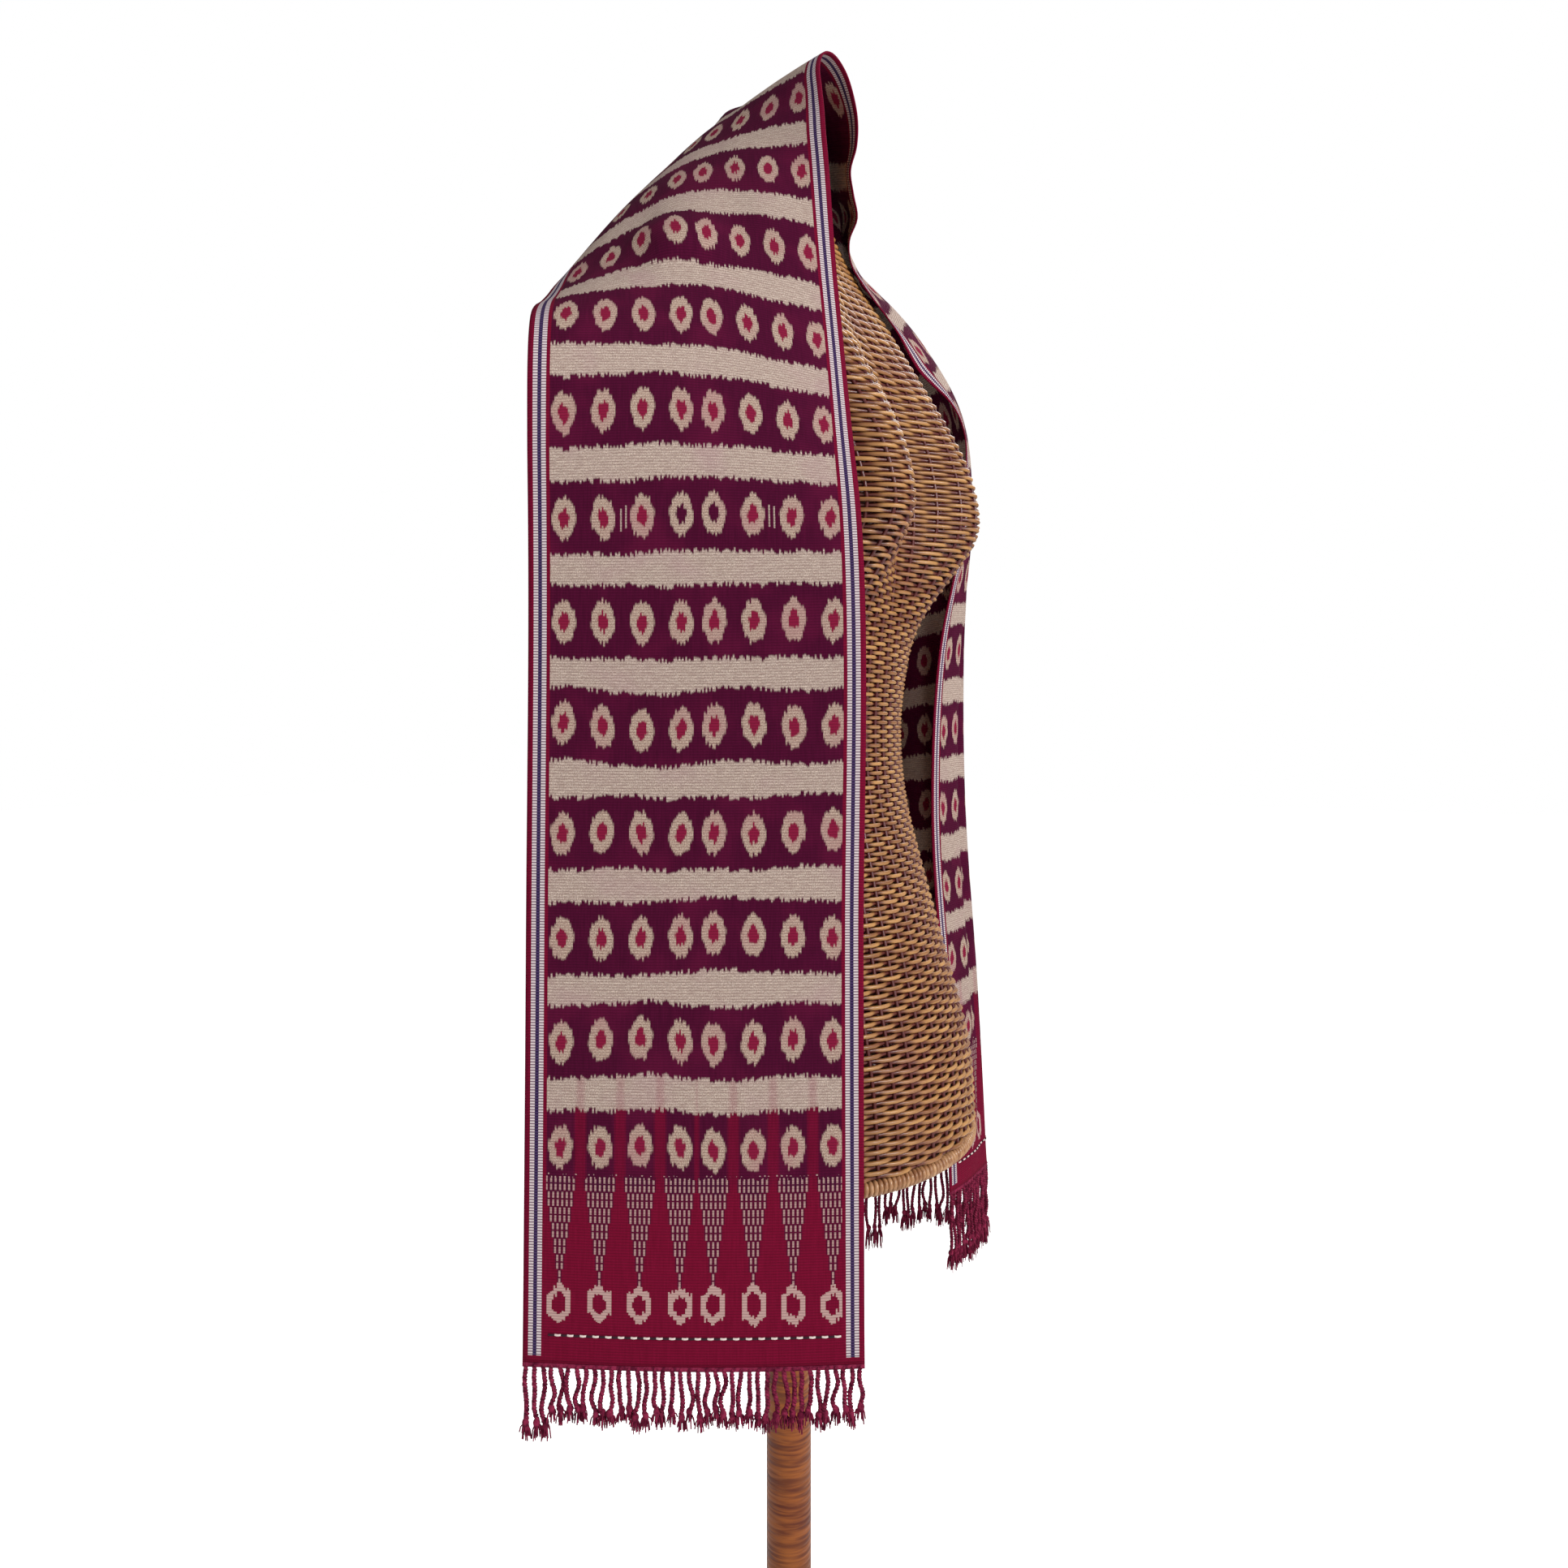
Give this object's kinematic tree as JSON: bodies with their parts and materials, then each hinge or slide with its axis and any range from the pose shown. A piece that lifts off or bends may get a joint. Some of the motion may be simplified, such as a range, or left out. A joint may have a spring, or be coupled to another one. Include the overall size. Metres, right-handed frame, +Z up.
{
  "type": "pua kumbu scarf on a wicker dress form",
  "caption": "Long narrow resist-dyed woven scarf with knotted fringes, draped over the neck and shoulders of a wicker dress form on a pole stand.",
  "frame": {"origin": "on the pole's axis at the underside of the base", "axes": "+Z up along the pole, -Y towards the dress form's front, -X towards the panel of the scarf that hangs at the form's right"},
  "size_m": [0.5699, 0.38, 1.5615],
  "materials": {
    "cloth": "matt handwoven cotton, warp-dyed purple, crimson and cream",
    "fringe": "twisted cotton ends",
    "wicker": "woven round rattan core, thin varnish",
    "rattan_binding": "wrapped rattan",
    "rattan_pole": "wrapped rattan peel, varnished",
    "stained_wood": "stained and waxed hardwood"
  },
  "bodies": {
    "root": {"scarf": "cloth", "fringe_near": "fringe", "fringe_far": "fringe", "wicker_body": "wicker", "rim_binding": "rattan_binding", "bottom_board": "stained_wood", "pole": "rattan_pole", "pole_collar": "stained_wood", "base": "stained_wood"}
  },
  "joints": []
}
